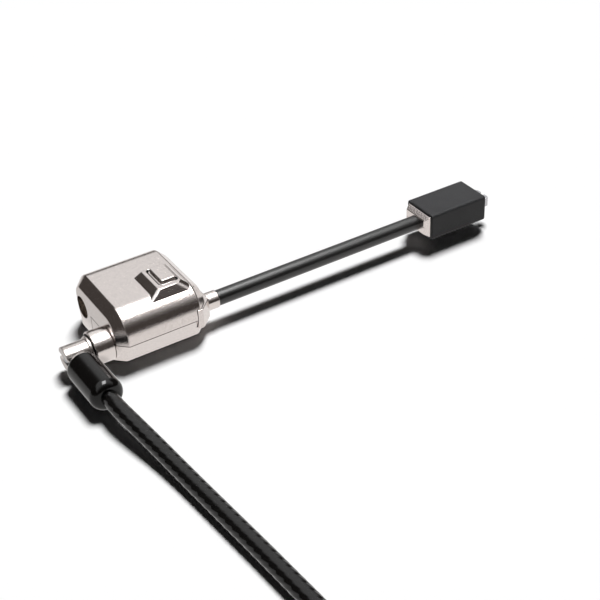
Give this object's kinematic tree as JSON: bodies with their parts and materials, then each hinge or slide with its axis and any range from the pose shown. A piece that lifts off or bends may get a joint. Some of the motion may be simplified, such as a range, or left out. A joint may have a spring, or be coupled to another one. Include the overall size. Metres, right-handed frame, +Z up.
{
  "type": "laptop cable lock",
  "caption": "Cable lock for a portable computer's security slot: keyed metal body with a push button, sheathed tube to a hooked head, and a swivelling coated steel cable.",
  "frame": {"origin": "on the surface that the lock body stands on, under the middle of the lock without its free cable", "axes": "+X along the tube towards the head, +Y to the back of the lock body, +Z up"},
  "size_m": [0.1409, 0.2509, 0.0293],
  "materials": {
    "nickel": "satin nickel plate",
    "steel": "bright",
    "brass": "turned",
    "sheath": "satin black",
    "head_black": "matte black",
    "boot_rubber": "smooth moulded",
    "cable_jacket": "glossy coating over twisted strands",
    "tie_strap": "matte"
  },
  "bodies": {
    "lock_body": {"upper_shell": "nickel", "lower_shell": "nickel", "shell_screws": "steel", "cable_block": "nickel", "tube_ferrule": "nickel", "sheath": "sheath", "head_frame": "nickel", "head_cover": "head_black", "hook_pins": "steel", "lock_cylinder": "brass", "swivel_barrel": "nickel", "button_spring": "steel", "return_spring": "steel", "latch_spring": "steel"},
    "button": {"push_button": "nickel"},
    "actuator": {"wedge_carriage": "brass", "wire_stop": "brass", "inner_wire": "steel", "spreader": "steel"},
    "back_hook": {"hook_back_side": "steel"},
    "front_hook": {"hook_front_side": "steel"},
    "key_plug": {"key_core": "brass", "core_wafers": "steel", "core_clip": "steel", "core_cam": "steel"},
    "latch": {"latch_bolt": "steel"},
    "fork": {"swivel_fork": "nickel", "fork_clip": "steel", "fork_pin": "steel"},
    "cable": {"cable_terminal": "steel", "cable_boot": "boot_rubber", "security_cable": "cable_jacket", "cable_coil": "cable_jacket", "coil_tie": "tie_strap", "loop_ferrule": "nickel", "end_loop": "cable_jacket"}
  },
  "joints": [
    {"name": "button_press", "type": "slide", "parent": "lock_body", "child": "button", "axis": [0, 0, -1], "range_m": [0, 0.0015], "stiffness_N_per_m": 400, "springref_m": -0.0004, "deforming": ["button_spring", "return_spring"]},
    {"name": "carriage_slide", "type": "slide", "parent": "lock_body", "child": "actuator", "axis": [1, 0, 0], "range_m": [0, 0.0015]},
    {"name": "back_hook_turn", "type": "hinge", "parent": "lock_body", "child": "back_hook", "pos_m": [0.05582, -0.00615, 0.0068], "axis": [0, 0, 1], "range_deg": [0, 5]},
    {"name": "front_hook_turn", "type": "hinge", "parent": "lock_body", "child": "front_hook", "pos_m": [0.05582, -0.01135, 0.0068], "axis": [0, 0, 1], "range_deg": [-5, 0]},
    {"name": "key_turn", "type": "hinge", "parent": "lock_body", "child": "key_plug", "pos_m": [-0.04858, 0.00915, 0.0068], "axis": [1, 0, 0], "range_deg": [0, 90]},
    {"name": "latch_draw", "type": "slide", "parent": "lock_body", "child": "latch", "axis": [0, 1, 0], "range_m": [0, 0.0014], "deforming": ["latch_spring"]},
    {"name": "swivel", "type": "hinge", "parent": "lock_body", "child": "fork", "pos_m": [-0.06207, -0.00745, 0.0049], "axis": [1, 0, 0], "continuous": true},
    {"name": "cable_pivot", "type": "hinge", "parent": "fork", "child": "cable", "pos_m": [-0.06682, -0.00745, 0.0049], "axis": [0, 0, 1], "range_deg": [-180, 0]}
  ],
  "couplings": [
    {"joint": "carriage_slide", "follows": "button_press", "ratio": 1},
    {"joint": "back_hook_turn", "follows": "button_press", "rad_per_m": 58.17},
    {"joint": "front_hook_turn", "follows": "button_press", "rad_per_m": -58.17},
    {"joint": "key_turn", "follows": "latch_draw", "rad_per_m": 1121.9}
  ]
}
